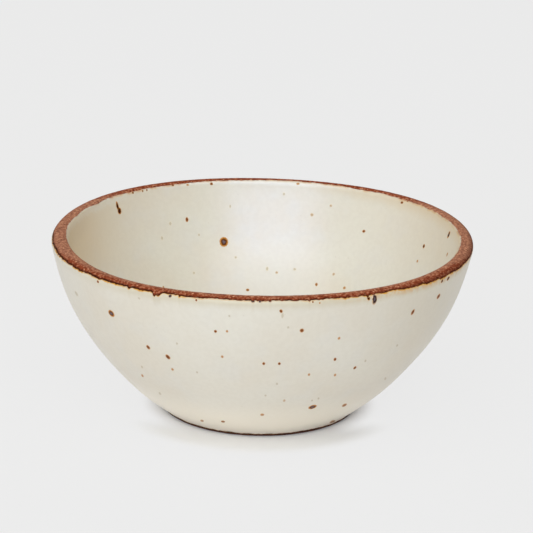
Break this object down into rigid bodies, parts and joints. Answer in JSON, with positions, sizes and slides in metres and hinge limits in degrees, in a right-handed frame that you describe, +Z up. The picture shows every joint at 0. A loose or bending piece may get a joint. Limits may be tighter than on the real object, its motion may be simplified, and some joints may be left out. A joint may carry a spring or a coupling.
{
  "type": "ice cream bowl",
  "caption": "Small round stoneware bowl with a flared curved wall, a bare rounded lip and a bare foot ring, glazed inside and out, for a helping of ice cream.",
  "frame": {"origin": "centre of the foot ring, on the plane that the bowl stands on", "axes": "+Z up along the axis the bowl is turned about; the bowl is round, so +X and +Y are free, and -Y is the side the picture shows"},
  "size_m": [0.133, 0.133, 0.0567],
  "materials": {
    "bare_stoneware": "matte, fine grained",
    "cream_glaze": "satin, iron specked"
  },
  "bodies": {
    "root": {"stoneware_body": "bare_stoneware", "inside_glaze": "cream_glaze", "outside_glaze": "cream_glaze"}
  },
  "joints": []
}
